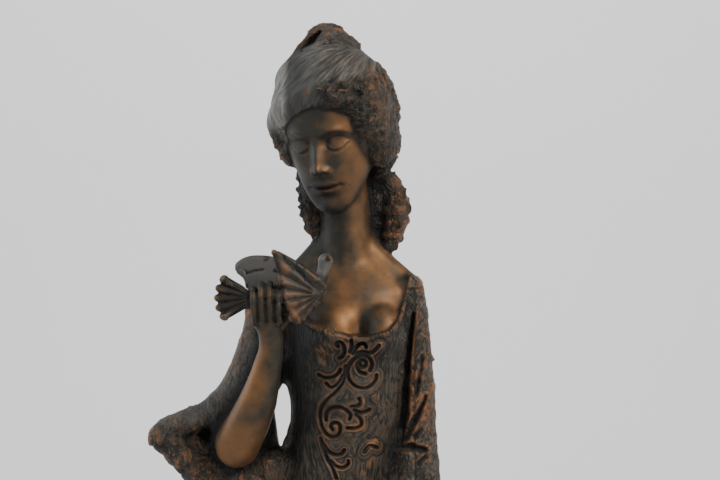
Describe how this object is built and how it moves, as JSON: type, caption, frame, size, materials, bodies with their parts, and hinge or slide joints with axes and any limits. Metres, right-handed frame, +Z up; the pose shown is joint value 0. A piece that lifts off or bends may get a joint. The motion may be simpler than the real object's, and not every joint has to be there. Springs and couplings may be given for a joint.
{
  "type": "statue",
  "caption": "Bronze lady in a long rococo gown with upswept hair, holding a dove in her raised right hand, on a low round plinth.",
  "frame": {"origin": "centre of the plinth's underside", "axes": "+Z up; the lady faces -Y and her left side is +X"},
  "size_m": [0.26, 0.26, 0.7504],
  "materials": {
    "patinated_bronze": "dark grey-green patina rubbed through to copper and golden brown on the raised parts",
    "dark_bronze": "even dark brown patina, satin"
  },
  "bodies": {
    "root": {"figure": "patinated_bronze", "plinth": "dark_bronze"}
  },
  "joints": []
}
